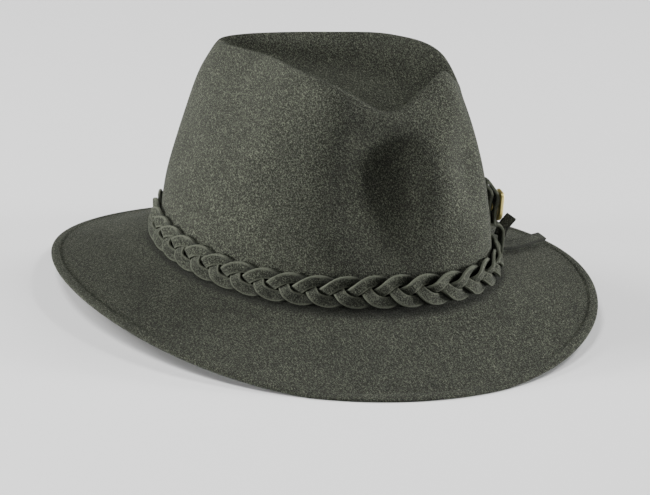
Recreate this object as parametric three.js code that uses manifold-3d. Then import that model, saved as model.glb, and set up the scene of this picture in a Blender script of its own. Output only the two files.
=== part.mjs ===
// A hunting hat in pressed felt, with a plaited felt band, a knot and a plain badge, resting on its brim.
// Millimetres, +Z up: the hat's front is -Y, the wearer's left is +X, and the brim rests on z = 0.
// Angles are in degrees round the head, from the front (0) to the wearer's left (90), the back (180) and the right (270).

import * as THREE from "three";
import { mergeVertices } from "three/addons/utils/BufferGeometryUtils.js";
import Module from "manifold-3d";

const wasm = await Module();
wasm.setup();

// Felt body: one sheet of felt, its crown and brim in one piece
const feltThickness = 2;
const headHalfWidth = 87.5;
const headHalfLength = 105.4;
const crownBaseHeight = 28.8;
const baseDip = { depth: 2.7, power: 6 };
const columnStep = 7.5;
const breakRadius = 5;

// Brim: its width and the height of its edge against the crown's base, as waves round the head
const brimWidth = { mean: 65.6, front: 0.5, ends: -2, corners: -0.6 };
const brimEdge = { drop: 21.8, front: -0.3, ends: -1.3, corners: 0.6, quarters: -0.2, left: -0.7, twist: 8.6 };
const brimArch = 0.3;
const brimWelt = { width: 4.8, step: 1, rise: 0.5 };
const brimFractions = [0.8, 0.6, 0.4, 0.2];

// Crown: rim of the dent, bulge of the wall low and high, crease along the middle, its depth and the rim's roundness
const crownTable = [
  { angle: 0, rimX: 0, rimY: -69.7, rimZ: 123.7, low: 4.5, high: -0.6, creaseY: -46, dent: 23, round: 10 },
  { angle: 20, rimX: 17.4, rimY: -66.5, rimZ: 115.7, low: 3.8, high: 4.4, creaseY: -44, dent: 21, round: 8 },
  { angle: 40, rimX: 39.6, rimY: -58.3, rimZ: 106.2, low: -5, high: -15, creaseY: -36, dent: 15, round: 3.5 },
  { angle: 60, rimX: 54.5, rimY: -38.2, rimZ: 117.4, low: -0.5, high: -4.5, creaseY: -24, dent: 22.5, round: 7 },
  { angle: 90, rimX: 52.6, rimY: -6.5, rimZ: 122.7, low: 3, high: 4, creaseY: 0, dent: 23, round: 8 },
  { angle: 120, rimX: 34.5, rimY: 27.8, rimZ: 121.2, low: 5.2, high: 5.5, creaseY: 22, dent: 20, round: 8 },
  { angle: 150, rimX: 16.9, rimY: 66.2, rimZ: 116.5, low: 5, high: 2, creaseY: 40, dent: 13, round: 8.5 },
  { angle: 180, rimX: 0, rimY: 80, rimZ: 114.5, low: 6, high: 6, creaseY: 52, dent: 8.5, round: 9 },
];
const shoulderDrop = 1.5;
const lowBulgeAt = 0.33;
const highBulgeAt = 0.7;
const dentNear = { across: 0.14, down: 0.2 };
const dentFar = { across: 0.45, down: 0.78 };
const knotPower = 0.75;
const wallFoot = 0.15;
const bendParts = [1 / 3, 2 / 3, 1];
const crownSteps = [0.5, 1, 1.5, 2, 2.5, 3, 3.5, 4, 4.5, 5, 5.5, 6, 6.5, 7];

// Plaited band: three flat felt strips. With the phase running round the head, a strip's height is
// sway cos(phase) + turn cos(3 phase), its stand off the crown weave sin(2 phase) + fold sin(4 phase),
// its lag slip sin(2 phase), and it rolls by roll sin(phase) + curl sin(3 phase) degrees
const plait = {
  width: 6.9, thickness: 1.3, height: 9.2, stand: 3.6, periods: 13, phase: 20, steps: 18, endGap: 0.4,
  sway: 5.2, turn: 0.35, weave: 2.25, fold: -0.33, slip: 3, roll: 4, curl: -10,
};
const clearance = 0.4;

// Knot on the wearer's left front: a keeper over the plait's join, a loop above it, a badge and two cut tails
const knot = { angle: 38 };
const keeper = { width: 9, thickness: 1.6, top: 20.6, path: [[4.4, 20], [7, 17], [7.6, 12], [7.6, 0.6]], steps: 14 };
const loop = {
  width: 9, thickness: 1.8, leaf: 1.2, steps: 36,
  path: [
    [-2.2, 21.9], [-2.9, 31], [-2.3, 38], [-4, 42.8], [-6.2, 45.4], [-6.3, 47.5], [-4.2, 47.2], [-1.9, 44.6],
    [2.1, 38], [1.2, 30], [1.2, 21.9],
  ],
};
const badge = { width: 12, height: 19, thickness: 2.6, bevel: 0.4, corner: 2.5, point: 7, bottom: 21.9, back: 3.4 };
const pin = { radius: 0.8, height: 31, clutchRadius: 2.4, clutch: 0.8, sides: 12, holeFrom: -2 };
const tail = { width: 7, thickness: 1.8 };
const shortTail = { path: [[5.6, 8.4, 10.5], [9.5, 11.3, 14.5], [13, 17, 19.5]], widthWay: [0.67, -0.5, 0.55], steps: 6 };
const longTail = {
  path: [[5.6, 9.3, 3.5], [16.2, 21.6, 0], [30.7, 36.4, -2.5], [44, 48.4, -5.5]],
  widthWay: [0.67, -0.64, 0.37],
  steps: 10,
};

const felt = { color: 0x43453a, roughness: 0.95, metalness: 0 };
const stripFelt = { color: 0x4b4d42, roughness: 0.95, metalness: 0 };
const gilt = { color: 0xd9c98a, roughness: 0.35, metalness: 1 };

const rad = THREE.MathUtils.degToRad;
const up = new THREE.Vector3(0, 0, 1);

// Smooth curve through uneven knots: each slope is the mean of its two chords, weighted towards the shorter one
function curveAt(knots, values, x) {
  const last = knots.length - 1;
  const chord = (i) => (values[i + 1] - values[i]) / (knots[i + 1] - knots[i]);
  const slope = (i) => {
    if (i === 0) return chord(0);
    if (i === last) return chord(last - 1);
    const before = knots[i] - knots[i - 1];
    const after = knots[i + 1] - knots[i];
    return (chord(i - 1) * after + chord(i) * before) / (after + before);
  };
  let i = 0;
  while (i < last - 1 && x >= knots[i + 1]) i += 1;
  const span = knots[i + 1] - knots[i];
  const t = (x - knots[i]) / span;
  const start = (2 * t ** 3 - 3 * t ** 2 + 1) * values[i] + (t ** 3 - 2 * t ** 2 + t) * span * slope(i);
  const end = (3 * t ** 2 - 2 * t ** 3) * values[i + 1] + (t ** 3 - t ** 2) * span * slope(i + 1);
  return start + end;
}

// The crown table read at any angle: the wearer's right mirrors the left
function crownRow(angle) {
  const turn = ((angle % 360) + 360) % 360;
  const side = turn > 180 ? -1 : 1;
  const folded = turn > 180 ? 360 - turn : turn;
  const mirrored = (row, pivot) => ({ ...row, angle: 2 * pivot - row.angle, rimX: -row.rimX });
  const front = [mirrored(crownTable[2], 0), mirrored(crownTable[1], 0)];
  const back = [mirrored(crownTable.at(-2), 180), mirrored(crownTable.at(-3), 180)];
  const rows = [...front, ...crownTable, ...back];
  const knots = rows.map((row) => row.angle);
  const read = (name) => curveAt(knots, rows.map((row) => row[name]), folded);
  const names = ["rimX", "rimY", "rimZ", "low", "high", "creaseY", "dent", "round"];
  const result = Object.fromEntries(names.map((name) => [name, read(name)]));
  result.rimX *= side;
  return result;
}

// How far the crown's base dips at the sides of the head
function baseDipAt(angle) {
  return baseDip.depth * Math.sin(rad(angle)) ** baseDip.power;
}

// Oval where the crown meets the brim, and the direction straight out of it
function headOval(angle) {
  const s = Math.sin(rad(angle));
  const c = Math.cos(rad(angle));
  const point = new THREE.Vector3(headHalfWidth * s, -headHalfLength * c, crownBaseHeight - baseDipAt(angle));
  const outward = new THREE.Vector3(s / headHalfWidth, -c / headHalfLength, 0).normalize();
  return { point, outward };
}

// A point given by its angle, its distance out of the head oval and its height above the crown's base
function fromHead(angle, out, height) {
  const { point, outward } = headOval(angle);
  return point.addScaledVector(outward, out).addScaledVector(up, height);
}

// Controls of one crown section: base, low and high bulge, shoulder, rim, dent near and far, crease
function crownControls(angle) {
  const row = crownRow(angle);
  const { point: base, outward } = headOval(angle);
  const rim = new THREE.Vector3(row.rimX, row.rimY, crownBaseHeight + row.rimZ);
  const shoulder = rim.clone().addScaledVector(outward, row.round).addScaledVector(up, -shoulderDrop * row.round);
  const low = base.clone().lerp(shoulder, lowBulgeAt).addScaledVector(outward, row.low);
  const high = base.clone().lerp(shoulder, highBulgeAt).addScaledVector(outward, row.high);
  const crease = new THREE.Vector3(0, row.creaseY, crownBaseHeight + row.rimZ - row.dent);
  const inward = crease.clone().sub(rim);
  const dentPoint = (part) =>
    rim.clone().add(inward.clone().multiply(new THREE.Vector3(part.across, part.across, part.down)));
  return [base, low, high, shoulder, rim, dentPoint(dentNear), dentPoint(dentFar), crease];
}

const angles = Array.from({ length: 360 / columnStep }, (_, i) => i * columnStep);

// Knots of every crown section: the mean distance between its controls, to a power
const sectionKnots = [0];
const allControls = angles.map(crownControls);
for (let i = 1; i < allControls[0].length; i += 1) {
  const total = allControls.reduce((sum, points) => sum + points[i].distanceTo(points[i - 1]), 0);
  sectionKnots.push(sectionKnots[i - 1] + (total / angles.length) ** knotPower);
}

// A point of the crown's outer face: step 0 is the base, 4 the rim and 7 the crease
function crownPoint(angle, step) {
  const points = crownControls(angle);
  const i = Math.min(Math.floor(step), points.length - 2);
  const x = THREE.MathUtils.lerp(sectionKnots[i], sectionKnots[i + 1], step - i);
  const read = (axis) => curveAt(sectionKnots, points.map((point) => point[axis]), x);
  return new THREE.Vector3(read("x"), read("y"), read("z"));
}

function brimWidthAt(angle) {
  const a = rad(angle);
  return brimWidth.mean + brimWidth.front * Math.cos(a) + brimWidth.ends * Math.cos(2 * a)
    + brimWidth.corners * Math.cos(3 * a);
}

function brimEdgeAt(angle) {
  const a = rad(angle);
  return -brimEdge.drop + brimEdge.front * Math.cos(a) + brimEdge.ends * Math.cos(2 * a)
    + brimEdge.corners * Math.cos(3 * a) + brimEdge.quarters * Math.cos(4 * a)
    + brimEdge.left * Math.sin(a) + brimEdge.twist * Math.sin(2 * a);
}

// Top face of the brim: it falls from the crown, leaves its dip behind and is pressed flat where it rests
function brimPoint(angle, out, rise = 0) {
  const u = out / brimWidthAt(angle);
  const dip = baseDipAt(angle);
  const fall = (brimEdgeAt(angle) + feltThickness / 2) * ((1 + brimArch) * u - brimArch * u * u);
  const height = Math.max(fall - dip * (1 - u) ** 2, feltThickness - crownBaseHeight);
  return fromHead(angle, out, height + dip + rise);
}

// One column of the sheet's top face, from the brim's edge to the crease, with the depth straight down
// to its underside where the sheet is a brim, or null where the underside is square to the face
function feltColumn(angle) {
  const width = brimWidthAt(angle);
  const brimRow = (inward, rise) => ({ point: brimPoint(angle, width - inward, rise), depth: feltThickness + rise });
  const rows = [
    brimRow(0, 0),
    brimRow(brimWelt.step, brimWelt.rise),
    brimRow(brimWelt.width, brimWelt.rise),
    brimRow(brimWelt.width + brimWelt.step, 0),
    ...brimFractions.map((fraction) => brimRow(width * (1 - fraction), 0)),
    brimRow(width - breakRadius, 0),
  ];
  const start = brimPoint(angle, breakRadius);
  const corner = headOval(angle).point;
  const end = crownPoint(angle, wallFoot);
  const bend = new THREE.QuadraticBezierCurve3(start, corner, end);
  for (const t of bendParts) rows.push({ point: bend.getPoint(t), depth: null });
  for (const step of crownSteps) rows.push({ point: crownPoint(angle, step), depth: null });
  return rows;
}

// Closed sheet: the top face, its underside and the edge between them
function feltBody() {
  const columns = angles.map(feltColumn);
  const rowCount = columns[0].length;
  const depths = columns.flat().map((row) => row.depth);
  const top = new THREE.BufferGeometry();
  top.setAttribute("position", new THREE.Float32BufferAttribute(columns.flat().flatMap((row) => row.point.toArray()), 3));
  const faces = [];
  columns.forEach((_, i) => {
    const here = i * rowCount;
    const next = ((i + 1) % columns.length) * rowCount;
    for (let r = 0; r < rowCount - 1; r += 1) {
      faces.push(here + r, next + r, next + r + 1, here + r, next + r + 1, here + r + 1);
    }
  });
  top.setIndex(faces);

  // The two halves share their crease, so its normals are worked out on the joined sheet
  const creaseOf = (i) => (columns.length - i) % columns.length;
  const joined = faces.map((v) => {
    const column = Math.floor(v / rowCount);
    const atCrease = v % rowCount === rowCount - 1;
    return atCrease && column > columns.length / 2 ? creaseOf(column) * rowCount + rowCount - 1 : v;
  });
  top.setIndex(joined);
  top.computeVertexNormals();

  const place = top.getAttribute("position");
  const normal = top.getAttribute("normal");
  const under = depths.flatMap((depth, v) => {
    const p = new THREE.Vector3().fromBufferAttribute(place, v);
    if (depth !== null) return [p.x, p.y, p.z - depth];
    const n = new THREE.Vector3().fromBufferAttribute(normal, v);
    return p.addScaledVector(n, -feltThickness).toArray();
  });
  const count = place.count;
  const triangles = [];
  for (let i = 0; i < joined.length; i += 3) {
    const [a, b, c] = joined.slice(i, i + 3);
    if (a === b || b === c || a === c) continue;
    triangles.push(a, b, c, count + a, count + c, count + b);
  }
  columns.forEach((_, i) => {
    const here = i * rowCount;
    const next = ((i + 1) % columns.length) * rowCount;
    triangles.push(here, count + here, count + next, here, count + next, next);
  });
  const body = new THREE.BufferGeometry();
  body.setAttribute("position", new THREE.Float32BufferAttribute([...place.array, ...under], 3));
  body.setIndex(triangles);
  return body;
}

// A flat strip carried along a path: each section has its centre and the ways of the strip's width and thickness
function stripGeometry(sections, { width, thickness }) {
  const corners = [[-1, -1], [1, -1], [1, 1], [-1, 1]];
  const points = sections.flatMap(({ centre, across, through }) => corners.map(([a, b]) =>
    centre.clone().addScaledVector(across, (a * width) / 2).addScaledVector(through, (b * thickness) / 2)));
  const triangles = [0, 2, 1, 0, 3, 2];
  for (let i = 0; i < sections.length - 1; i += 1) {
    for (let k = 0; k < 4; k += 1) {
      const a = i * 4 + k;
      const b = i * 4 + ((k + 1) % 4);
      triangles.push(a, b, b + 4, a, b + 4, a + 4);
    }
  }
  const end = (sections.length - 1) * 4;
  triangles.push(end, end + 1, end + 2, end, end + 2, end + 3);
  const geometry = new THREE.BufferGeometry();
  geometry.setAttribute("position", new THREE.Float32BufferAttribute(points.flatMap((point) => point.toArray()), 3));
  geometry.setIndex(triangles);
  return geometry;
}

// How far the crown's wall has drawn in at a small height above its base
function wallOut(angle, height) {
  const { point, outward } = headOval(angle);
  const wall = crownPoint(angle, 0.5).sub(point);
  return (wall.dot(outward) / wall.z) * height;
}

// Distance round the head oval from the front, kept at every degree and read at any angle
const arcs = [0];
for (let angle = 1; angle <= 360; angle += 1) {
  arcs.push(arcs[angle - 1] + headOval(angle).point.distanceTo(headOval(angle - 1).point));
}
const headRound = arcs[360];

function arcAt(angle) {
  const turns = Math.floor(angle / 360);
  const rest = angle - 360 * turns;
  const whole = Math.floor(rest);
  return turns * headRound + THREE.MathUtils.lerp(arcs[whole], arcs[whole + 1] ?? headRound, rest - whole);
}

function plaitPhase(angle, strand) {
  return rad(plait.phase + 120 * strand - (360 * plait.periods * arcAt(angle)) / headRound);
}

// Centre of one strip of the plait: it sways up and down, weaves in and out, and slips a little along the head
function plaitCentre(angle, strand) {
  const phase = plaitPhase(angle, strand);
  const sway = plait.sway * Math.cos(phase) + plait.turn * Math.cos(3 * phase);
  const weave = plait.weave * Math.sin(2 * phase) + plait.fold * Math.sin(4 * phase);
  const slip = (-plait.slip * Math.sin(2 * phase)) / (arcAt(angle + 0.5) - arcAt(angle - 0.5));
  const height = plait.height + sway;
  return fromHead(angle + slip, wallOut(angle, height) + plait.stand + weave, height);
}

function plaitStrand(strand) {
  const count = plait.periods * plait.steps;
  const sections = Array.from({ length: count + 1 }, (_, i) => {
    const angle = THREE.MathUtils.lerp(knot.angle + plait.endGap, knot.angle + 360 - plait.endGap, i / count);
    const phase = plaitPhase(angle, strand);
    const ahead = plaitCentre(angle + 0.1, strand).sub(plaitCentre(angle - 0.1, strand)).normalize();
    const face = headOval(angle).outward.addScaledVector(up, -wallOut(angle, 1)).normalize();
    const level = face.clone().cross(ahead).normalize();
    const through = ahead.clone().cross(level);
    const roll = rad(plait.roll * Math.sin(phase) + plait.curl * Math.sin(3 * phase));
    return {
      centre: plaitCentre(angle, strand),
      across: level.clone().multiplyScalar(Math.cos(roll)).addScaledVector(through, Math.sin(roll)),
      through: through.clone().multiplyScalar(Math.cos(roll)).addScaledVector(level, -Math.sin(roll)),
    };
  });
  return stripGeometry(sections, plait);
}

// Frame of the knot: along the head, straight out of it and up, from the head oval at the knot's angle
const knotFrame = headOval(knot.angle);
const knotAlong = up.clone().cross(knotFrame.outward);

function knotPoint(along, out, height) {
  return fromHead(knot.angle, out, height).addScaledVector(knotAlong, along);
}

// Sections of a strip along a smooth path of knot points, kept as near as it can be to one width direction
function pathSections(points, steps, widthWay) {
  const curve = new THREE.CatmullRomCurve3(points);
  return Array.from({ length: steps + 1 }, (_, i) => {
    const ahead = curve.getTangentAt(i / steps);
    const through = ahead.clone().cross(widthWay).normalize();
    return { centre: curve.getPointAt(i / steps), across: through.clone().cross(ahead), through };
  });
}

// Keeper: a strip laid over the plait's join, bent back to the crown above it
function keeperGeometry() {
  const back = wallOut(knot.angle, keeper.top) + keeper.thickness / 2 + clearance;
  const places = [[back, keeper.top], ...keeper.path];
  const points = places.map(([out, height]) => knotPoint(0, out, height));
  return stripGeometry(pathSections(points, keeper.steps, knotAlong), keeper);
}

// A bar straight out of the head, between two distances out, centred on the badge's pin
function pinBar(radius, from, to) {
  const bar = new THREE.CylinderGeometry(radius, radius, to - from, pin.sides);
  bar.rotateX(Math.PI / 2);
  bar.translate(0, 0, (from + to) / 2);
  return bar.applyMatrix4(knotMatrix());
}

// Places a shape drawn along, up and out of the head at the height of the badge's pin
function knotMatrix() {
  const matrix = new THREE.Matrix4().makeBasis(knotAlong, up, knotFrame.outward);
  return matrix.setPosition(knotPoint(0, 0, pin.height));
}

function solidOf(geometry) {
  const bare = geometry.clone();
  bare.deleteAttribute("normal");
  bare.deleteAttribute("uv");
  const merged = mergeVertices(bare, 1e-4);
  const vertProperties = new Float32Array(merged.getAttribute("position").array);
  const triVerts = new Uint32Array(merged.getIndex().array);
  return new wasm.Manifold(new wasm.Mesh({ numProp: 3, vertProperties, triVerts }));
}

function geometryOf(solid) {
  const { vertProperties, triVerts } = solid.getMesh();
  const geometry = new THREE.BufferGeometry();
  geometry.setAttribute("position", new THREE.Float32BufferAttribute(vertProperties, 3));
  geometry.setIndex([...triVerts]);
  return geometry;
}

// Loop: one strip folded over outside the crown, its outer leaf pierced by the badge's pin
function loopGeometry() {
  const points = loop.path.map(([out, height]) => knotPoint(0, out, height));
  const strip = stripGeometry(pathSections(points, loop.steps, knotAlong), loop);
  const hole = pinBar(pin.radius + clearance, pin.holeFrom, badge.back);
  return geometryOf(solidOf(strip).subtract(solidOf(hole)));
}

// Badge: a bare shield with a pin soldered to its back, and the pin's flat clutch behind the loop's leaf
function badgeGeometry() {
  const half = badge.width / 2;
  const low = badge.bottom - pin.height;
  const high = low + badge.height;
  const shoulder = low + badge.point;
  const outline = new THREE.Shape();
  outline.moveTo(0, low);
  outline.quadraticCurveTo(half, low + badge.point / 3, half, shoulder);
  outline.lineTo(half, high - badge.corner);
  outline.absarc(half - badge.corner, high - badge.corner, badge.corner, 0, Math.PI / 2, false);
  outline.lineTo(badge.corner - half, high);
  outline.absarc(badge.corner - half, high - badge.corner, badge.corner, Math.PI / 2, Math.PI, false);
  outline.lineTo(-half, shoulder);
  outline.quadraticCurveTo(-half, low + badge.point / 3, 0, low);
  const plate = new THREE.ExtrudeGeometry(outline, {
    depth: badge.thickness - 2 * badge.bevel,
    bevelThickness: badge.bevel,
    bevelSize: badge.bevel,
    bevelOffset: -badge.bevel,
    bevelSegments: 1,
    curveSegments: 5,
  });
  plate.translate(0, 0, badge.back + badge.bevel);
  plate.applyMatrix4(knotMatrix());
  const clutchFrom = loop.leaf - loop.thickness / 2 - clearance - pin.clutch;
  const post = pinBar(pin.radius, clutchFrom - pin.clutch, badge.back + badge.thickness / 2);
  const clutch = pinBar(pin.clutchRadius, clutchFrom, clutchFrom + pin.clutch);
  return geometryOf(solidOf(plate).add(solidOf(post)).add(solidOf(clutch)));
}

// Tails: the cut ends of the band, given as steps along the head, distances out and heights
function tailGeometry({ path, widthWay, steps }) {
  const points = path.map((place) => knotPoint(...place));
  const [along, out, height] = widthWay;
  const way = knotAlong.clone().multiplyScalar(along).addScaledVector(knotFrame.outward, out).addScaledVector(up, height);
  return stripGeometry(pathSections(points, steps, way), tail);
}

function mesh(name, geometry, finish) {
  const result = new THREE.Mesh(geometry, new THREE.MeshStandardMaterial(finish));
  result.name = name;
  return result;
}

const hat = new THREE.Group();
hat.add(mesh("felt_body", feltBody(), felt));
for (const strand of [0, 1, 2]) hat.add(mesh(`plait_strand_${strand + 1}`, plaitStrand(strand), stripFelt));
hat.add(mesh("band_keeper", keeperGeometry(), stripFelt));
hat.add(mesh("band_loop", loopGeometry(), stripFelt));
hat.add(mesh("badge", badgeGeometry(), gilt));
hat.add(mesh("tail_short", tailGeometry(shortTail), stripFelt));
hat.add(mesh("tail_long", tailGeometry(longTail), stripFelt));

export default hat;
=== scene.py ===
import math

import bpy
import numpy as np
from mathutils import Matrix, Vector


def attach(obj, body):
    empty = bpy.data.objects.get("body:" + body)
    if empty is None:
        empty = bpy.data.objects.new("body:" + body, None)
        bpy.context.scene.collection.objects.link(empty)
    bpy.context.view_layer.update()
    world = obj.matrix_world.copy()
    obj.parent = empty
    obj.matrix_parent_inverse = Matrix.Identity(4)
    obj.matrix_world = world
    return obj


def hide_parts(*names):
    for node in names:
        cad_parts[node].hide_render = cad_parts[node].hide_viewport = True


# A hunting hat in pressed felt with a plaited felt band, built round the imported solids.
# Sizes in the dictionaries are millimetres and degrees; a mesh gets its metres when it is made.
# Angles go round the head from the front (-Y) to the wearer's left (90), the back (180) and the right (270).

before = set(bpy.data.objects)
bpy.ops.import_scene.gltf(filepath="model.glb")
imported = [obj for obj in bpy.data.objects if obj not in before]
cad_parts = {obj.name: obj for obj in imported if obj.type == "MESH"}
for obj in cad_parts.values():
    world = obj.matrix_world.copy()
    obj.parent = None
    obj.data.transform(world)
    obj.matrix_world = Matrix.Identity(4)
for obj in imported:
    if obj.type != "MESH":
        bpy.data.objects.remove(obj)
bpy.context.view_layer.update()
metres = 0.001
straightUp = np.array([0, 0, 1.0])
print("frame loaded:", len(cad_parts), "solids")


# Camera: turned round the hat, above it, and rolled a little, with its aim shifted as in the photograph
view = {
    "azimuth": -60, "elevation": 20.63, "roll": 3.93, "distance": 1300, "aimHeight": 73.8,
    "shiftRight": 2.34, "shiftUp": 42.85, "pixelsPerMillimetre": 1.68, "frameWidth": 650, "sensor": 36,
    "clipMetres": (0.05, 60),
}


# Direction out of the hat, from a turn round it and a rise above the floor, both in radians
def directionAt(turn, rise):
    return Vector((math.sin(turn) * math.cos(rise), -math.cos(turn) * math.cos(rise), math.sin(rise)))


def placeCamera():
    turn, rise, roll = (math.radians(view[name]) for name in ("azimuth", "elevation", "roll"))
    back = directionAt(turn, rise)
    level = Vector((math.cos(turn), math.sin(turn), 0))
    upward = back.cross(level)
    right = level * math.cos(roll) + upward * math.sin(roll)
    top = upward * math.cos(roll) - level * math.sin(roll)
    aim = Vector((0, 0, view["aimHeight"]))
    place = aim + back * view["distance"] - right * view["shiftRight"] - top * view["shiftUp"]
    data = bpy.data.cameras.new("photoCamera")
    data.sensor_width = view["sensor"]
    focalPixels = view["pixelsPerMillimetre"] * view["distance"]
    data.lens = view["sensor"] * focalPixels / view["frameWidth"]
    data.clip_start, data.clip_end = view["clipMetres"]
    camera = bpy.data.objects.new("photoCamera", data)
    turnMatrix = Matrix((right, top, back)).transposed().to_4x4()
    camera.matrix_world = Matrix.Translation(place * metres) @ turnMatrix
    bpy.context.scene.collection.objects.link(camera)
    bpy.context.scene.camera = camera


placeCamera()
print("camera placed")


# Curve through uneven knots: on each stretch a cubic whose end slopes are the mean of the two chords
# that meet there, weighted towards the shorter one. It reads every column of values at once
def smoothCurve(knots, values, x):
    knots, values, x = (np.asarray(v, float) for v in (knots, values, x))
    spare = (1,) * (values.ndim - 1)
    gaps = np.diff(knots).reshape(-1, *spare)
    chords = np.diff(values, axis=0) / gaps
    inner = (chords[:-1] * gaps[1:] + chords[1:] * gaps[:-1]) / (gaps[1:] + gaps[:-1])
    slopes = np.concatenate([chords[:1], inner, chords[-1:]])
    i = np.clip(np.searchsorted(knots, x, side="right") - 1, 0, len(knots) - 2)
    t = (x - knots[i]).reshape(-1, *spare) / gaps[i]
    start = (2 * t**3 - 3 * t**2 + 1) * values[i] + (t**3 - 2 * t**2 + t) * gaps[i] * slopes[i]
    end = (3 * t**2 - 2 * t**3) * values[i + 1] + (t**3 - t**2) * gaps[i] * slopes[i + 1]
    return start + end


# Each vector divided by its length
def unit(vectors):
    return vectors / np.linalg.norm(vectors, axis=-1, keepdims=True)


# Lengths run along a line of points, from 0 at its first, with each chord raised to a power before the sum
def runAlong(points, power=1):
    return np.concatenate([[0], np.cumsum(np.linalg.norm(np.diff(points, axis=0), axis=1) ** power)])


# 0 below low, 1 above high, and 3 t squared less 2 t cubed between
def smoothStep(x, low, high):
    t = np.clip((x - low) / (high - low), 0, 1)
    return t * t * (3 - 2 * t)


# Mesh from a grid of points: rows by columns, its columns closed into a ring, its first and last rows
# closed by a flat face each where caps is set, and its faces turned out where the volume round its middle
# comes out negative. keep gives each grid place the place whose point it shares. A quad at a place in
# splitFrom becomes two triangles that both have that corner
def gridPiece(name, grid, material, caps=False, keep=None, splitFrom=(), attributes=None):
    rows, columns = grid.shape[:2]
    index = np.arange(rows * columns).reshape(rows, columns)
    if keep is not None:
        index = keep[index]
    ring = np.concatenate([index, index[:, :1]], axis=1)
    quads = np.stack([ring[:-1, :-1], ring[:-1, 1:], ring[1:, 1:], ring[1:, :-1]], axis=-1).reshape(-1, 4)
    points = grid.reshape(-1, 3) * metres
    corners = points[quads] - points.mean(axis=0)
    volume = np.einsum("ij,ij->i", corners[:, 0], np.cross(corners[:, 1], corners[:, 2])).sum()
    volume += np.einsum("ij,ij->i", corners[:, 0], np.cross(corners[:, 2], corners[:, 3])).sum()
    isSplit = np.isin(quads, splitFrom)
    split = isSplit.any(axis=1)
    order = (isSplit[split].argmax(axis=1)[:, None] + np.arange(4)) % 4
    parted = np.take_along_axis(quads[split], order, axis=1)
    parts = [quads[~split], parted[:, [0, 1, 2]], parted[:, [0, 2, 3]]]
    if caps:
        parts += [index[:1, ::-1], index[-1:]]
    used = np.unique(index)
    renumber = np.zeros(rows * columns, int)
    renumber[used] = np.arange(len(used))
    way = -1 if volume < 0 else 1
    faces = []
    for part in parts:
        faces += renumber[part][:, ::way].tolist()
    mesh = bpy.data.meshes.new(name)
    mesh.from_pydata(points[used].tolist(), [], faces)
    for label, values in (attributes or {}).items():
        layer = mesh.attributes.new(label, "FLOAT", "POINT")
        layer.data.foreach_set("value", np.asarray(values, np.float32).ravel()[used])
    mesh.shade_smooth()
    mesh.materials.append(material)
    piece = bpy.data.objects.new(name, mesh)
    bpy.context.scene.collection.objects.link(piece)
    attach(piece, "root")
    return piece


# Colour that goes from the first to the second as share goes from 0 to 1. The second is a socket or a
# fixed colour. A Mix node's colours are its inputs 6 and 7 and its output 2
def mixColours(tree, share, first, second):
    node = tree.nodes.new("ShaderNodeMix")
    node.data_type = "RGBA"
    tree.links.new(share, node.inputs["Factor"])
    tree.links.new(first, node.inputs[6])
    if isinstance(second, tuple):
        node.inputs[7].default_value = (*second, 1)
    else:
        tree.links.new(second, node.inputs[7])
    return node.outputs[2]


# Felt finish: short fibres in several directions over a slow mottle, as colour and as height
fibre = {
    "ways": [(20, 35, 10), (-40, 20, 70), (65, -30, 120), (10, 80, -50)], "stretch": (1, 1, 0.26),
    "layerShift": (0.37, 0.11, 0.23), "detail": 1.5, "roughness": 0.5, "bend": 0.35, "fleck": (0.52, 0.72),
    "fineScale": 2.6, "fineDetail": 2, "fineRoughness": 0.6, "fleckShare": 0.75, "fineShare": 0.4,
    "mottleScale": 45, "mottleDetail": 3, "mottleRoughness": 0.55,
}


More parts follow.
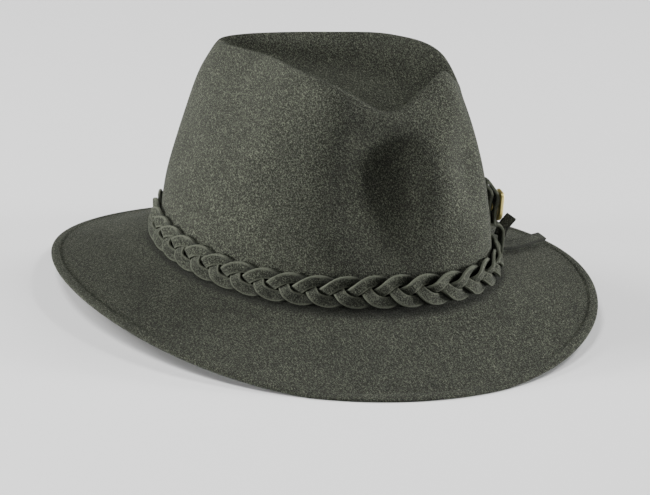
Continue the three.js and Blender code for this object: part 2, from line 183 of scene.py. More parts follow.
# Tone: fleck share times the strongest fibre, plus fine share times a finer noise, plus the mottle. The
# colour goes from dark to middle over the tone's lower half and from middle to light over its upper half
def makeFeltGroup():
    tree = bpy.data.node_groups.new("feltFibre", "ShaderNodeTree")
    for label, kind, standard in (
        ("Dark", "NodeSocketColor", (0.02, 0.02, 0.015, 1)),
        ("Middle", "NodeSocketColor", (0.05, 0.05, 0.04, 1)),
        ("Light", "NodeSocketColor", (0.15, 0.16, 0.12, 1)),
        ("Fibres Per Metre", "NodeSocketFloat", 900.0),
        ("Mottle", "NodeSocketFloat", 0.3),
    ):
        socket = tree.interface.new_socket(name=label, in_out="INPUT", socket_type=kind)
        socket.default_value = standard
    tree.interface.new_socket(name="Color", in_out="OUTPUT", socket_type="NodeSocketColor")
    tree.interface.new_socket(name="Height", in_out="OUTPUT", socket_type="NodeSocketFloat")
    nodes, links = tree.nodes, tree.links
    given = nodes.new("NodeGroupInput")
    result = nodes.new("NodeGroupOutput")
    place = nodes.new("ShaderNodeTexCoord").outputs["Object"]

    def give(socket, value):
        if isinstance(value, (int, float)):
            socket.default_value = value
        else:
            links.new(value, socket)

    def calculate(operation, a, b, clamp=False):
        node = nodes.new("ShaderNodeMath")
        node.operation, node.use_clamp = operation, clamp
        give(node.inputs[0], a)
        give(node.inputs[1], b)
        return node.outputs[0]

    def noise(vector, scale, detail, roughness, distortion=0.0):
        node = nodes.new("ShaderNodeTexNoise")
        links.new(vector, node.inputs["Vector"])
        give(node.inputs["Scale"], scale)
        node.inputs["Detail"].default_value = detail
        node.inputs["Roughness"].default_value = roughness
        node.inputs["Distortion"].default_value = distortion
        return node.outputs["Fac"]

    fibres = None
    for number, way in enumerate(fibre["ways"]):
        turn = nodes.new("ShaderNodeMapping")
        links.new(place, turn.inputs["Vector"])
        turn.inputs["Rotation"].default_value = [math.radians(v) for v in way]
        turn.inputs["Location"].default_value = [number * v for v in fibre["layerShift"]]
        stretch = nodes.new("ShaderNodeMapping")
        links.new(turn.outputs[0], stretch.inputs["Vector"])
        stretch.inputs["Scale"].default_value = fibre["stretch"]
        layer = noise(stretch.outputs[0], given.outputs["Fibres Per Metre"], fibre["detail"],
                      fibre["roughness"], fibre["bend"])
        fibres = layer if fibres is None else calculate("MAXIMUM", fibres, layer)
    fineScale = calculate("MULTIPLY", given.outputs["Fibres Per Metre"], fibre["fineScale"])
    fine = noise(place, fineScale, fibre["fineDetail"], fibre["fineRoughness"])
    slow = noise(place, fibre["mottleScale"], fibre["mottleDetail"], fibre["mottleRoughness"])
    fleck = nodes.new("ShaderNodeMapRange")
    links.new(fibres, fleck.inputs["Value"])
    fleck.inputs["From Min"].default_value, fleck.inputs["From Max"].default_value = fibre["fleck"]
    fleckPart = calculate("MULTIPLY", fleck.outputs[0], fibre["fleckShare"])
    finePart = calculate("MULTIPLY", fine, fibre["fineShare"])
    slowPart = calculate("MULTIPLY", calculate("SUBTRACT", slow, 0.5), given.outputs["Mottle"])
    tone = calculate("ADD", calculate("ADD", fleckPart, finePart), slowPart, clamp=True)
    lower = calculate("MULTIPLY", tone, 2.0, clamp=True)
    upper = calculate("SUBTRACT", calculate("MULTIPLY", tone, 2.0), 1.0, clamp=True)
    darkToMiddle = mixColours(tree, lower, given.outputs["Dark"], given.outputs["Middle"])
    colour = mixColours(tree, upper, darkToMiddle, given.outputs["Light"])
    links.new(colour, result.inputs["Color"])
    links.new(tone, result.inputs["Height"])
    return tree


feltGroup = makeFeltGroup()
feltSurface = {"roughness": 0.95, "specular": 0.2, "sheenRoughness": 0.6, "sheenTint": (0.75, 0.8, 0.66, 1)}


# One felt from its look. Where the mesh says so it mixes in painted light: along cut edges a painted
# highlight (on the tails painted shade), and painted shade in the fold and where strips dive
def feltMaterial(name, look):
    material = bpy.data.materials.new(name)
    material.use_nodes = True
    tree = material.node_tree
    nodes, links = tree.nodes, tree.links
    shader = nodes["Principled BSDF"]
    group = nodes.new("ShaderNodeGroup")
    group.node_tree = feltGroup
    for label, value in look["colours"].items():
        group.inputs[label].default_value = (*value, 1)
    group.inputs["Fibres Per Metre"].default_value = look["fibresPerMetre"]
    group.inputs["Mottle"].default_value = look["mottle"]
    colour = group.outputs["Color"]
    for attribute in ("paintedEdgeLighting", "paintedShade"):
        if attribute in look:
            mask = nodes.new("ShaderNodeAttribute")
            mask.attribute_name = attribute
            colour = mixColours(tree, mask.outputs["Fac"], colour, look[attribute])
    links.new(colour, shader.inputs["Base Color"])
    bump = nodes.new("ShaderNodeBump")
    bump.inputs["Strength"].default_value = 1
    bump.inputs["Distance"].default_value = look["bumpMillimetres"] * metres
    links.new(group.outputs["Height"], bump.inputs["Height"])
    links.new(bump.outputs[0], shader.inputs["Normal"])
    shader.inputs["Roughness"].default_value = feltSurface["roughness"]
    shader.inputs["Specular IOR Level"].default_value = feltSurface["specular"]
    shader.inputs["Sheen Weight"].default_value = look["sheen"]
    shader.inputs["Sheen Roughness"].default_value = feltSurface["sheenRoughness"]
    shader.inputs["Sheen Tint"].default_value = feltSurface["sheenTint"]
    return material


# The darkest felt fibres; the same colour also serves as painted shade
darkFeltAndPaintedShade = (0.004, 0.0045, 0.003)
paleFlecks = (0.12, 0.13, 0.095)
feltLook = {
    "colours": {"Dark": darkFeltAndPaintedShade, "Middle": (0.021, 0.0225, 0.016), "Light": paleFlecks},
    "fibresPerMetre": 1550, "mottle": 0.25, "bumpMillimetres": 0.95, "sheen": 0.05, "paintedShade": darkFeltAndPaintedShade,
}
# The band's strips get a pale painted highlight along their cut edges
stripLook = {
    "colours": {"Dark": (0.005, 0.0055, 0.004), "Middle": (0.024, 0.026, 0.019), "Light": paleFlecks},
    "fibresPerMetre": 1550, "mottle": 0.2, "bumpMillimetres": 0.7, "sheen": 0.05,
    "paintedEdgeLighting": (0.085, 0.092, 0.068), "paintedShade": darkFeltAndPaintedShade,
}
# The tails get painted shade along their cut edges
tailLook = {
    "colours": {"Dark": darkFeltAndPaintedShade, "Middle": (0.015, 0.0165, 0.012), "Light": (0.075, 0.08, 0.06)},
    "fibresPerMetre": 1550, "mottle": 0.2, "bumpMillimetres": 0.7, "sheen": 0.03,
    "paintedEdgeLighting": (0.009, 0.01, 0.007),
}
pressedFelt = feltMaterial("pressedFelt", feltLook)
stripFelt = feltMaterial("stripFelt", stripLook)
tailFelt = feltMaterial("tailFelt", tailLook)


# Gilt metal: dulled, with small clouds that change its tint, its roughness and a very low relief
giltLook = {
    "cloudScale": 350, "cloudDetail": 4, "tintAt": (0.3, 0.7), "roughness": (0.4, 0.55),
    "bumpMillimetres": 0.05, "deepGilt": (0.6, 0.49, 0.17, 1), "paleGilt": (0.78, 0.67, 0.3, 1),
}


def giltMaterial():
    material = bpy.data.materials.new("giltMetal")
    material.use_nodes = True
    nodes, links = material.node_tree.nodes, material.node_tree.links
    shader = nodes["Principled BSDF"]
    shader.inputs["Metallic"].default_value = 1
    cloud = nodes.new("ShaderNodeTexNoise")
    cloud.inputs["Scale"].default_value = giltLook["cloudScale"]
    cloud.inputs["Detail"].default_value = giltLook["cloudDetail"]
    links.new(nodes.new("ShaderNodeTexCoord").outputs["Object"], cloud.inputs["Vector"])
    tint = nodes.new("ShaderNodeValToRGB")
    low, high = tint.color_ramp.elements
    low.position, high.position = giltLook["tintAt"]
    low.color, high.color = giltLook["deepGilt"], giltLook["paleGilt"]
    links.new(cloud.outputs["Fac"], tint.inputs["Fac"])
    links.new(tint.outputs["Color"], shader.inputs["Base Color"])
    rough = nodes.new("ShaderNodeMapRange")
    rough.inputs["To Min"].default_value, rough.inputs["To Max"].default_value = giltLook["roughness"]
    links.new(cloud.outputs["Fac"], rough.inputs["Value"])
    links.new(rough.outputs[0], shader.inputs["Roughness"])
    bump = nodes.new("ShaderNodeBump")
    bump.inputs["Distance"].default_value = giltLook["bumpMillimetres"] * metres
    links.new(cloud.outputs["Fac"], bump.inputs["Height"])
    links.new(bump.outputs[0], shader.inputs["Normal"])
    return material


giltMetal = giltMaterial()
print("finishes made")


# Felt body: one pressed sheet, its crown and brim in one piece. The crown's rows are read at the given
# angles: the rim's place, how far the wall bulges low and high, the crease's place, how deep the dent
# goes and how far the rim is rounded
head = {"halfWidth": 87.5, "halfLength": 105.4, "baseHeight": 28.8, "dip": 2.7, "dipPower": 6}
crown = {
    "angle": [0, 20, 40, 60, 90, 120, 150, 180],
    "rimX": [0, 17.4, 39.6, 54.5, 52.6, 34.5, 16.9, 0],
    "rimY": [-69.7, -66.5, -58.3, -38.2, -6.5, 27.8, 66.2, 80],
    "rimZ": [123.7, 115.7, 106.2, 117.4, 122.7, 121.2, 116.5, 114.5],
    "low": [4.5, 3.8, -5, -0.5, 3, 5.2, 5, 6],
    "high": [-0.6, 4.4, -15, -4.5, 4, 5.5, 2, 6],
    "creaseY": [-46, -44, -36, -24, 0, 22, 40, 52],
    "dent": [23, 21, 15, 22.5, 23, 20, 13, 8.5],
    "round": [10, 8, 3.5, 7, 8, 8, 8.5, 9],
}
crownForm = {
    "lowBulgeAt": 0.33, "highBulgeAt": 0.7, "shoulderDrop": 1.5,
    "dentNear": (0.14, 0.2), "dentFar": (0.45, 0.78), "knotPower": 0.75, "coarseColumn": 7.5,
    "footStep": 0.15, "shoulderStep": 3, "rimStep": 4, "creaseStep": 7,
}
brim = {
    "width": {"mean": 65.6, "front": 0.5, "ends": -2, "corners": -0.6},
    "edge": {"drop": 21.8, "front": -0.3, "ends": -1.3, "corners": 0.6, "quarters": -0.2, "left": -0.7,
             "twist": 8.6},
    "arch": 0.3, "breakRadius": 5, "weltWidth": 5, "weltStep": 2, "weltRise": 0.5, "weltFall": 0.5,
    "weltFallFrom": 0.6, "weltMargin": 1,
}
felt = {
    "thickness": 2, "columns": 280, "dentRows": 34, "wallRows": 70, "bendRows": 8, "brimRows": 44,
    "weltRows": 12, "edgeRows": 7, "edgeSquareness": 0.7,
    "creaseUp": (10, 17), "creaseOut": (5, 9), "creaseShade": 0.75,
}


# How far the crown's base dips at the sides of the head: dip times a power of the angle's sine
def dipAt(angle):
    return head["dip"] * np.sin(np.radians(angle)) ** head["dipPower"]


# The head's oval: half the width times the sine, half the length times the cosine, and its normal
def headOval(angle):
    s, c = np.sin(np.radians(angle)), np.cos(np.radians(angle))
    point = np.stack([head["halfWidth"] * s, -head["halfLength"] * c, head["baseHeight"] - dipAt(angle)], -1)
    outward = unit(np.stack([s / head["halfWidth"], -c / head["halfLength"], np.zeros_like(s)], -1))
    return point, outward


# Points so far out of the oval along its normals, and so far above it
def fromHead(angle, out, height):
    point, outward = headOval(angle)
    return point + outward * np.asarray(out)[..., None] + straightUp * np.asarray(height)[..., None]


# The crown's rows at any angle: the wearer's right mirrors the left, and the curve runs on past both ends
def crownRows(angle):
    turn = np.mod(angle, 360)
    folded = np.where(turn > 180, 360 - turn, turn)
    names = [name for name in crown if name != "angle"]
    table = np.array([crown[name] for name in names], float).T
    mirror = np.array([-1 if name == "rimX" else 1 for name in names])
    knots = np.array(crown["angle"], float)
    knots = np.concatenate([-knots[2:0:-1], knots, 360 - knots[-2:-4:-1]])
    table = np.concatenate([table[2:0:-1] * mirror, table, table[-2:-4:-1] * mirror])
    rows = dict(zip(names, smoothCurve(knots, table, folded).T))
    rows["rimX"] = rows["rimX"] * np.where(turn > 180, -1, 1)
    return rows


# Controls of each crown section: base, low and high bulge, shoulder, rim, dent near and far, crease. The
# bulges lie at shares of the way from base to shoulder, the dent's two at shares from rim to crease
def crownControls(angle):
    row = crownRows(angle)
    base, outward = headOval(angle)
    lift = head["baseHeight"] + row["rimZ"]
    rim = np.stack([row["rimX"], row["rimY"], lift], -1)
    rounding = row["round"][:, None]
    shoulder = rim + outward * rounding - crownForm["shoulderDrop"] * rounding * straightUp
    low = base + (shoulder - base) * crownForm["lowBulgeAt"] + outward * row["low"][:, None]
    high = base + (shoulder - base) * crownForm["highBulgeAt"] + outward * row["high"][:, None]
    crease = np.stack([np.zeros_like(lift), row["creaseY"], lift - row["dent"]], -1)
    dents = []
    for across, down in (crownForm["dentNear"], crownForm["dentFar"]):
        dents.append(rim + (crease - rim) * np.array([across, across, down]))
    return np.stack([base, low, high, shoulder, rim, *dents, crease])


# Knots of the sections: the sum of the mean chords between controls, each raised to a power
def crownKnots():
    controls = crownControls(np.arange(0, 360, crownForm["coarseColumn"]))
    lengths = np.linalg.norm(np.diff(controls, axis=0), axis=-1).mean(axis=1)
    return np.concatenate([[0], np.cumsum(lengths ** crownForm["knotPower"])])


sectionKnots = crownKnots()


# Crown's outer face: rows of steps (0 base, 4 rim, 7 crease) by columns of angles
def crownSurface(angle, step):
    x = np.interp(step, np.arange(len(sectionKnots)), sectionKnots)
    return smoothCurve(sectionKnots, crownControls(angle), x)


# Brim's top face: it falls from the crown along a parabola to an edge that waves round the head. Its
# width and its edge are sums of cosines and sines of the angle, and a welt rises along the edge
def brimSurface(angle, inward):
    a = np.radians(angle)
    sizes, edges = brim["width"], brim["edge"]
    width = sizes["mean"] + sizes["front"] * np.cos(a) + sizes["ends"] * np.cos(2 * a)
    width = width + sizes["corners"] * np.cos(3 * a)
    edge = -edges["drop"] + edges["front"] * np.cos(a) + edges["ends"] * np.cos(2 * a)
    edge = edge + edges["corners"] * np.cos(3 * a) + edges["quarters"] * np.cos(4 * a)
    edge = edge + edges["left"] * np.sin(a) + edges["twist"] * np.sin(2 * a)
    out = inward(width)
    u = out / width
    fall = (edge + felt["thickness"] / 2) * ((1 + brim["arch"]) * u - brim["arch"] * u * u)
    dip = dipAt(angle)
    height = np.maximum(fall - dip * (1 - u) ** 2, felt["thickness"] - head["baseHeight"]) + dip
    fromEdge = width - out
    rise = brim["weltRise"] * smoothStep(-fromEdge, -brim["weltWidth"] - brim["weltStep"], -brim["weltWidth"])
    rise = rise - brim["weltFall"] * smoothStep(-fromEdge, -brim["weltWidth"] * brim["weltFallFrom"], 0)
    return fromHead(np.broadcast_to(angle, out.shape), out, height + rise)


# The sheet's top face in four parts: from the crease over the rim and down the wall, round the bend at
# the crown's foot (a parabola whose corner is the oval), out along the brim, and over its welt
def feltTop(angle):
    dentSteps = np.linspace(crownForm["creaseStep"], crownForm["rimStep"], felt["dentRows"] + 1)
    wallSteps = np.linspace(crownForm["rimStep"], crownForm["footStep"], felt["wallRows"] + 1)[1:]
    wall = crownSurface(angle, np.concatenate([dentSteps, wallSteps]))
    first = brim["breakRadius"]
    start = brimSurface(angle, lambda width: np.full((1, len(angle)), float(first)))[0]
    t = np.linspace(0, 1, felt["bendRows"] + 1)[1:, None, None]
    bend = (1 - t) ** 2 * wall[-1] + 2 * t * (1 - t) * headOval(angle)[0] + t**2 * start
    reach = brim["weltWidth"] + brim["weltStep"] + brim["weltMargin"]
    share = np.linspace(0, 1, felt["brimRows"] + 1)[1:, None]
    flat = brimSurface(angle, lambda width: first + (width - reach - first) * share)
    share = np.linspace(0, 1, felt["weltRows"] + 1)[1:, None]
    welt = brimSurface(angle, lambda width: width - reach + (reach - felt["thickness"] / 2) * share)
    return wall, bend, flat, welt


# Normals of the top face, as cross products of its two slopes. Along the crease both sides meet, so a
# point there has the sum of its own normal and its partner's, and each end of it the next row's
def feltNormals(top, along, partner):
    around = np.roll(top, -1, axis=1) - np.roll(top, 1, axis=1)
    normal = np.cross(around, along)
    crease = normal[0] + normal[0][partner]
    isClear = np.linalg.norm(crease, axis=-1, keepdims=True) > 1e-9
    normal[0] = np.where(isClear, crease, straightUp)
    for end in (0, len(partner) // 2):
        normal[0, end] = normal[1, end]
    normal = unit(normal)
    return normal * np.sign(normal[-1, :, 2].mean())


# Painted shade in the fold between wall and brim: full all the way round the bend, fading up and out from it
def foldShade(wall, bend, flat, corner, rows):
    up = 1 - smoothStep(wall[..., 2] - corner[..., 2], *felt["creaseUp"])
    out = 1 - smoothStep(np.linalg.norm((flat - corner)[..., :2], axis=-1), *felt["creaseOut"])
    shade = felt["creaseShade"] * np.concatenate([up, np.ones(bend.shape[:2]), out])
    return np.concatenate([shade, np.zeros((rows - len(shade), shade.shape[1]))])


# The whole sheet as one grid: its top face, its cut edge and its underside, one thickness inside along
# the normals. The edge is a half round squared off: powers of the cosine and sine of its turn
def feltSheet():
    columns = felt["columns"]
    angle = np.arange(columns) * 360 / columns
    wall, bend, flat, welt = feltTop(angle)
    top = np.concatenate([wall, bend, flat, welt])
    partner = (columns - np.arange(columns)) % columns
    along = np.gradient(top, axis=0)
    normal = feltNormals(top, along, partner)
    under = top - normal * felt["thickness"]
    halfThickness = felt["thickness"] / 2
    centre = top[-1] - normal[-1] * halfThickness
    outward = unit(along[-1] - (along[-1] * normal[-1]).sum(-1, keepdims=True) * normal[-1])
    turn = np.linspace(0, np.pi, felt["edgeRows"] + 2)[1:-1, None, None]
    power = felt["edgeSquareness"]
    up = np.sign(np.cos(turn)) * np.abs(np.cos(turn)) ** power
    edge = centre + halfThickness * (up * normal[-1] + np.sin(turn) ** power * outward)
    under[..., 2] = np.maximum(under[..., 2], 0)  # pressed flat where it rests
    edge[..., 2] = np.maximum(edge[..., 2], 0)
    sheet = np.concatenate([top, edge, under[::-1]])
    count = sheet.shape[0] * columns
    keep = np.arange(count)
    shared = np.minimum(np.arange(columns), partner)
    keep[:columns] = shared
    keep[-columns:] = count - columns + shared
    creaseEnds = [row + end for row in (0, count - columns) for end in (0, columns // 2)]
    return sheet, keep, creaseEnds, foldShade(wall, bend, flat, headOval(angle)[0], len(sheet))


sheet, sharedPoints, creaseEnds, creaseShade = feltSheet()
# The fold's painted shade goes onto the felt as a point attribute
feltBody = gridPiece("pressed_felt_body", sheet, pressedFelt, keep=sharedPoints, splitFrom=creaseEnds,
                     attributes={"paintedShade": creaseShade})
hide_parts("felt_body")
print("felt body made:", len(feltBody.data.polygons), "faces")


# Strips of cut felt: a rounded flat profile carried along a path
stripForm = {
    "corner": 0.35, "cornerShare": 0.48, "cornerSteps": 4, "faceSteps": 5, "puff": 0.12, "endRows": 3,
    "edgeFade": 0.2,
}


# Half of the profile: a quarter round, a face that stands proud by a parabola, and a quarter round. The
# other half is the same turned about
def stripProfile(width, thickness):
    corner = min(stripForm["corner"], thickness * stripForm["cornerShare"])
    halfWidth, halfThickness = width / 2, thickness / 2
    turn = np.linspace(0, np.pi / 2, stripForm["cornerSteps"])
    cornerX = halfWidth - corner + corner * np.cos(turn)
    cornerY = halfThickness - corner + corner * np.sin(turn)
    faceX = np.linspace(halfWidth - corner, corner - halfWidth, stripForm["faceSteps"] + 2)[1:-1]
    faceY = halfThickness + stripForm["puff"] * (1 - (faceX / halfWidth) ** 2)
    x = np.concatenate([cornerX, faceX, -cornerX[::-1]])
    y = np.concatenate([cornerY, faceY, cornerY[::-1]])
    return np.concatenate([x, -x]), np.concatenate([y, -y])


# One strip: its profile's x runs along across and its y along through, and both ends are rounded off:
# past the last point the profile moves on by the sine and shrinks by one less the cosine of a turn
def stripPiece(name, centre, across, through, size, material, paintedShade=None):
    x, y = stripProfile(size["width"], size["thickness"])
    ahead = unit(np.gradient(centre, axis=0))
    count, ends, corner = len(centre), stripForm["endRows"], stripForm["corner"]
    turn = np.linspace(0, np.pi / 2, ends + 1)[1:]
    reach = corner * np.sin(turn)
    shrink = corner * (1 - np.cos(turn))
    which = np.concatenate([np.zeros(ends, int), np.arange(count), np.full(ends, count - 1)])
    push = np.concatenate([-reach[::-1], np.zeros(count), reach])[:, None]
    less = np.concatenate([shrink[::-1], np.zeros(count), shrink])[:, None]
    narrow = x * (1 - less / (size["width"] / 2))
    thin = y * (1 - less / (size["thickness"] / 2 + corner))
    middle = centre[which] + ahead[which] * push
    wide = narrow[..., None] * across[which][:, None]
    grid = middle[:, None] + wide + thin[..., None] * through[which][:, None]
    # Mask for the colour painted on cut edges: a painted highlight on the band's strips, painted shade on the
    # tails
    fromEdge = np.abs(x) - (size["width"] / 2 - corner - stripForm["edgeFade"])
    cut = np.broadcast_to(np.clip(fromEdge / stripForm["edgeFade"], 0, 1), narrow.shape).copy()
    cut[less[:, 0] > 0] = 1
    # Painted shade along the strip, where given
    shade = np.zeros(count) if paintedShade is None else paintedShade
    attributes = {"paintedEdgeLighting": cut, "paintedShade": np.broadcast_to(shade[which][:, None], narrow.shape)}
    return gridPiece(name, grid, material, caps=True, attributes=attributes)


# Plaited band, with its phase running round the head: each strip's height is sway cos(phase) + turn
# cos(3 phase), its stand off the crown weave sin(2 phase) + fold sin(4 phase), its lag slip
# sin(2 phase), and it rolls by roll sin(phase) + curl sin(3 phase) + lean cos(phase) degrees. topIn
# draws its upper turns in to the crown. Painted shade darkens it by shade where it dives under the
# others, and by lowShade along its foot
plait = {
    "width": 6.6, "thickness": 1.7, "height": 9.2, "stand": 3.5, "periods": 13, "phase": 20,
    "stepsPerPeriod": 48, "endGap": 0.4, "sway": 5.2, "turn": 0.35, "weave": 2.1, "fold": -0.33, "slip": 1.6,
    "roll": 4, "curl": -10, "lean": 18, "topIn": 1.5, "wallStep": 0.5,
    "shade": 0.75, "shadeOver": (0, 0.9), "lowShade": 0.25, "lowShadeOver": (-0.2, 0.8),
}
knot = {"angle": 38}
wholeAngles = np.arange(0, 361, 1.0)
arcLengths = runAlong(headOval(wholeAngles)[0])
headRound = arcLengths[-1]


# Length along the oval from the front to an angle, whole turns included
def arcAt(angle):
    turns = np.floor(angle / 360)
    return turns * headRound + np.interp(angle - 360 * turns, wholeAngles, arcLengths)


# How far out of the oval the crown's foot stands at a height: its slope low down times the height
def wallOut(angle, height):
    point, outward = headOval(angle)
    wall = crownSurface(angle, np.array([plait["wallStep"]]))[0] - point
    return (wall * outward).sum(-1) / wall[:, 2] * height


# Phase of a strip, in radians: a third of a turn between strips, and periods turns round the head
def plaitPhase(angle, strand):
    return np.radians(plait["phase"] + 120 * strand - 360 * plait["periods"] * arcAt(angle) / headRound)


# Middle line of a strip, by the sums given above the dictionary
def plaitCentre(angle, strand):
    phase = plaitPhase(angle, strand)
    height = plait["height"] + plait["sway"] * np.cos(phase) + plait["turn"] * np.cos(3 * phase)
    weave = plait["weave"] * np.sin(2 * phase) + plait["fold"] * np.sin(4 * phase)
    perDegree = arcAt(angle + 0.5) - arcAt(angle - 0.5)
    slip = -plait["slip"] * np.sin(2 * phase) / perDegree
    inward = plait["topIn"] * ((1 + np.cos(phase)) / 2) ** 2
    return fromHead(angle + slip, wallOut(angle, height) + plait["stand"] + weave - inward, height)


# One strip round the head, level with the wall's slope and then rolled about its own way ahead
def plaitStrand(strand):
    count = plait["periods"] * plait["stepsPerPeriod"]
    angle = np.linspace(knot["angle"] + plait["endGap"], knot["angle"] + 360 - plait["endGap"], count + 1)
    phase = plaitPhase(angle, strand)
    ahead = unit(plaitCentre(angle + 0.1, strand) - plaitCentre(angle - 0.1, strand))
    face = headOval(angle)[1] - straightUp * wallOut(angle, 1.0)[:, None]
    level = unit(np.cross(unit(face), ahead))
    through = np.cross(ahead, level)
    roll = plait["roll"] * np.sin(phase) + plait["curl"] * np.sin(3 * phase) + plait["lean"] * np.cos(phase)
    roll = np.radians(roll)[:, None]
    across = level * np.cos(roll) + through * np.sin(roll)
    outOfIt = through * np.cos(roll) - level * np.sin(roll)
    # Painted shade: darker where the strip dives under the others and along the band's foot
    paintedShade = plait["shade"] * smoothStep(-np.sin(2 * phase), *plait["shadeOver"])
    paintedShade = paintedShade + plait["lowShade"] * smoothStep(-np.cos(phase), *plait["lowShadeOver"])
    centre = plaitCentre(angle, strand)
    piece = stripPiece(f"plaited_strip_{strand + 1}", centre, across, outOfIt, plait, stripFelt, paintedShade)
    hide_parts(f"plait_strand_{strand + 1}")


for strand in range(3):
    plaitStrand(strand)
print("plaited band made")


# Knot on the wearer's left front, in its own directions: along the head, straight out of it, and up
knotPlace, knotOut = (part[0] for part in headOval(np.array([float(knot["angle"])])))
knotAlong = np.cross(straightUp, knotOut)


# Steps given in the knot's directions, turned into the hat's own: the sum of each times its direction
def fromKnot(places):
    along, out, height = np.asarray(places, float).T[..., None]
    return along * knotAlong + out * knotOut + height * straightUp


# Points given by their steps from the knot's place
def knotPoints(places):
    return knotPlace + fromKnot(places)


# Even steps along the smooth curve through a few points, whose knots are the square roots of its chords
def smoothPath(points, count, fineCount=400):
    knots = runAlong(points, 0.5)
    fine = np.linspace(0, knots[-1], fineCount)
    run = runAlong(smoothCurve(knots, points, fine))
    return smoothCurve(knots, points, np.interp(np.linspace(0, run[-1], count), run, fine))


# A strip along a path, its width as near to widthWay as the path lets it
def pathStrip(name, places, widthWay, size, node, material=stripFelt):
    centre = smoothPath(knotPoints(places), size["steps"])
    ahead = unit(np.gradient(centre, axis=0))
    through = unit(np.cross(ahead, widthWay))
    piece = stripPiece(name, centre, np.cross(through, ahead), through, size, material)
    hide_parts(node)


# How far out the crown's wall stands behind the knot at a height, read off its own section
def knotWallOut(height, fineCount=300):
    steps = np.linspace(0, crownForm["shoulderStep"], fineCount)
    wall = crownSurface(np.array([float(knot["angle"])]), steps)[:, 0] - knotPlace
    return np.interp(height, wall[:, 2], wall @ knotOut)


# Keeper: a strip laid over the plait's join and bent back to the crown above it
keeper = {
    "width": 9, "thickness": 1.6, "top": 20.6, "clear": 0.4, "steps": 40,
    "path": [(0, 4.4, 20), (0, 7, 17), (0, 7.6, 12), (0, 7.6, 0.6)],
}
keeperBack = knotWallOut(keeper["top"]) + keeper["thickness"] / 2 + keeper["clear"]
keeperPath = [(0, keeperBack, keeper["top"])] + keeper["path"]
pathStrip("keeper_strip", keeperPath, knotAlong, keeper, "band_keeper")


# Loop: one strip folded over outside the crown, given by its distance out of the head and its height
loop = {
    "width": 9, "thickness": 1.8, "steps": 90,
    "path": [(-2.2, 21.9), (-2.9, 31), (-2.4, 36), (-2, 39.7), (-3.1, 42.7), (-5.7, 45.5), (-6.1, 47.3),
             (-4.4, 47.2), (-1.9, 44.6), (2.1, 38), (1.2, 30), (1.2, 21.9)],
}
pathStrip("loop_strip", [(0, *place) for place in loop["path"]], knotAlong, loop, "band_loop")


# Tails: the cut ends of the band, as steps along the head, distances out and heights
tails = {
    "tail_short": {
        "width": 7, "thickness": 1.8, "steps": 24, "widthWay": (0.67, -0.5, 0.55),
        "places": [(5.6, 8.4, 10.5), (9.5, 11.3, 14.5), (13, 17, 19.5)],
    },
    "tail_long": {
        "width": 7, "thickness": 1.8, "steps": 50, "widthWay": (0.67, -0.64, 0.37),
        "places": [(5.6, 9.3, 3.5), (16.2, 21.6, 0), (30.7, 36.4, -2.5), (44, 48.4, -5.5)],
    },
}
for node, tail in tails.items():
    name = node.replace("tail", "cut_tail")
    pathStrip(name, tail["places"], fromKnot(tail["widthWay"]), tail, node, tailFelt)
print("knot strips made")


# Badge: a bare shield, its face a low dome inside a raised rim. Its sizes are millimetres, its ring
# places are shares of the way from the middle to the outline
badge = {
    "width": 12, "height": 19, "thickness": 2, "corner": 2.5, "point": 7, "bottom": 21.9, "back": 3.4,
    "pinHeight": 31, "outlineSteps": 96, "footSteps": 25, "cornerSteps": 12, "middle": 0.52,
    "backRings": (0.02, 0.5), "edgeRound": 0.3, "bevel": 0.3, "innerRim": 0.8,
    "rimFall": ((0.06, 0), (0.02, 0.4), (-0.03, 1)), "field": 0.5, "dome": 0.35,
    "domeRings": (0.6, 0.45, 0.3, 0.15, 0.02),
}


# Outline of the shield: a parabola from the point up to each side, a quarter round at each top corner,
# then even steps all the way round
def shieldOutline():
    half, low = badge["width"] / 2, badge["bottom"] - badge["pinHeight"]
    high, shoulder = low + badge["height"], low + badge["point"]
    t = np.linspace(0, 1, badge["footSteps"])[:, None]
    foot, knee, side = (np.array(v) for v in ((0, low), (half, low + badge["point"] / 3), (half, shoulder)))
    curve = (1 - t) ** 2 * foot + 2 * t * (1 - t) * knee + t**2 * side
    turn = np.linspace(0, np.pi / 2, badge["cornerSteps"])[:, None]
    corner = np.array([half - badge["corner"], high - badge["corner"]])
    corner = corner + badge["corner"] * np.concatenate([np.cos(turn), np.sin(turn)], axis=1)
    right = np.concatenate([curve, corner])
    line = np.concatenate([right, (right * [-1, 1])[::-1]])
    run = runAlong(line)
    places = np.linspace(0, run[-1], badge["outlineSteps"], endpoint=False)
    return np.stack([np.interp(places, run, line[:, k]) for k in (0, 1)], -1)


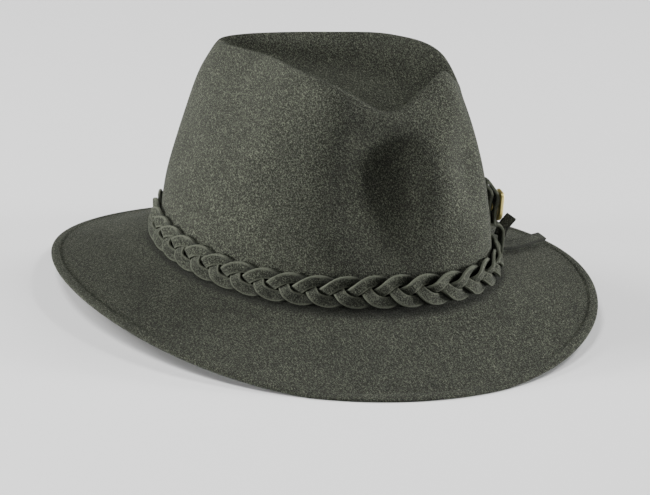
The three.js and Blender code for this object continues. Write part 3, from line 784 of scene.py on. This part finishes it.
# The shield's grid is rings by directions: each ring is the outline drawn in towards the middle, and its
# distance out comes from the ring's place alone: on the dome, one less the square of that place
def makeBadge():
    line = shieldOutline()
    back, rounding, bevel = badge["back"], badge["edgeRound"], badge["bevel"]
    front = back + badge["thickness"]
    inset = rounding / (badge["width"] / 2)
    inner = badge["innerRim"]
    rings = [(share, back) for share in badge["backRings"]]
    rings += [(1 - inset, back), (1 - bevel * inset, back + bevel * rounding), (1, back + rounding)]
    rings += [(1, front - rounding), (1 - bevel * inset, front - bevel * rounding), (1 - inset, front)]
    rings += [(inner + step, front - badge["field"] * fall) for step, fall in badge["rimFall"]]
    for share in badge["domeRings"]:
        rings.append((share, front - badge["field"] + badge["dome"] * (1 - (share / inner) ** 2)))
    share, out = np.array(rings).T[..., None]
    middle = np.array([0, badge["bottom"] - badge["pinHeight"] + badge["height"] * badge["middle"]])
    flat = middle + (line - middle) * share[..., None]
    side, height = flat[..., 0], flat[..., 1] + badge["pinHeight"]
    places = np.stack([side, np.broadcast_to(out, side.shape), height], -1)
    grid = knotPoints(places.reshape(-1, 3)).reshape(places.shape)
    piece = gridPiece("badge_shield", grid, giltMetal, caps=True)
    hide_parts("badge")


makeBadge()


# Pin: a round post with a flat clutch, as rings of one radius each along the way out of the head
pin = {
    "radius": 0.8, "clutchRadius": 2.4, "clutchOut": -0.9, "clutch": 0.8, "sides": 32, "tip": 0.5,
    "tipFrom": 0.8, "edge": 0.15,
}


# Each ring is its radius times the cosine and sine of the turn, round the badge's pin height
def makePin():
    r, wide, start, edge = pin["radius"], pin["clutchRadius"], pin["clutchOut"], pin["edge"]
    end = start + pin["clutch"]
    profile = [
        (r * pin["tip"], start - pin["clutch"]), (r, start - pin["clutch"] * pin["tipFrom"]), (r, start),
        (wide - edge, start), (wide, start + edge), (wide, end - edge), (wide - edge, end), (r, end),
        (r, badge["back"] + badge["thickness"] / 2),
    ]
    turn = np.arange(pin["sides"]) * 2 * np.pi / pin["sides"]
    radius, out = np.array(profile).T[..., None]
    side, height = radius * np.cos(turn), badge["pinHeight"] + radius * np.sin(turn)
    places = np.stack([side, np.broadcast_to(out, side.shape), height], -1)
    grid = knotPoints(places.reshape(-1, 3)).reshape(places.shape)
    piece = gridPiece("badge_pin", grid, giltMetal, caps=True)


makePin()
print("badge made")


# Plain pale floor, its size in metres: one square face with a slight cloudiness
floorLook = {"size": 12, "cloudScale": 3, "shades": (0.86, 0.9), "roughness": 0.9}


def makeFloor():
    half = floorLook["size"] / 2
    mesh = bpy.data.meshes.new("floor")
    corners = [(-half, -half, 0), (half, -half, 0), (half, half, 0), (-half, half, 0)]
    mesh.from_pydata(corners, [], [(0, 1, 2, 3)])
    material = bpy.data.materials.new("paleFloor")
    material.use_nodes = True
    nodes, links = material.node_tree.nodes, material.node_tree.links
    shader = nodes["Principled BSDF"]
    cloud = nodes.new("ShaderNodeTexNoise")
    cloud.inputs["Scale"].default_value = floorLook["cloudScale"]
    ramp = nodes.new("ShaderNodeValToRGB")
    for element, shade in zip(ramp.color_ramp.elements, floorLook["shades"]):
        element.color = (shade, shade, shade, 1)
    links.new(nodes.new("ShaderNodeTexCoord").outputs["Object"], cloud.inputs["Vector"])
    links.new(cloud.outputs["Fac"], ramp.inputs["Fac"])
    links.new(ramp.outputs["Color"], shader.inputs["Base Color"])
    shader.inputs["Roughness"].default_value = floorLook["roughness"]
    mesh.materials.append(material)
    floor = bpy.data.objects.new("floor", mesh)
    bpy.context.scene.collection.objects.link(floor)


makeFloor()

# Soft lights, each given by its turn and height round the hat, its distance and size in metres, its power
lightAim = 0.07  # height that they face, in metres
lights = {
    "leftSoftbox": {"azimuth": -135, "elevation": 3, "distance": 3, "size": 0.8, "power": 220},
    "rightSoftbox": {"azimuth": 36, "elevation": 3, "distance": 3, "size": 0.8, "power": 238},
    "leftHigh": {"azimuth": -150, "elevation": 38, "distance": 3, "size": 1.2, "power": 62},
    "rightHigh": {"azimuth": 52, "elevation": 50, "distance": 3, "size": 1, "power": 62},
    "sideFill": {"azimuth": -95, "elevation": 62, "distance": 3, "size": 1, "power": 60},
}
for name, light in lights.items():
    data = bpy.data.lights.new(name, "AREA")
    data.shape = "DISK"
    data.size, data.energy = light["size"], light["power"]
    lamp = bpy.data.objects.new(name, data)
    back = directionAt(math.radians(light["azimuth"]), math.radians(light["elevation"]))
    lamp.location = back * light["distance"] + Vector((0, 0, lightAim))
    lamp.rotation_mode = "QUATERNION"
    lamp.rotation_quaternion = back.to_track_quat("Z", "Y")
    bpy.context.scene.collection.objects.link(lamp)

# The room looks pale but lights the hat only a little
room = {"lights": 0.03, "looks": 1.0}
world = bpy.data.worlds.new("paleRoom")
bpy.context.scene.world = world
world.use_nodes = True
worldNodes, worldLinks = world.node_tree.nodes, world.node_tree.links
worldNodes["Background"].inputs["Color"].default_value = (1, 1, 1, 1)
strength = worldNodes.new("ShaderNodeMapRange")
strength.inputs["To Min"].default_value = room["lights"]
strength.inputs["To Max"].default_value = room["looks"]
worldLinks.new(worldNodes.new("ShaderNodeLightPath").outputs["Is Camera Ray"], strength.inputs["Value"])
worldLinks.new(strength.outputs[0], worldNodes["Background"].inputs["Strength"])
print("stage and lights made")
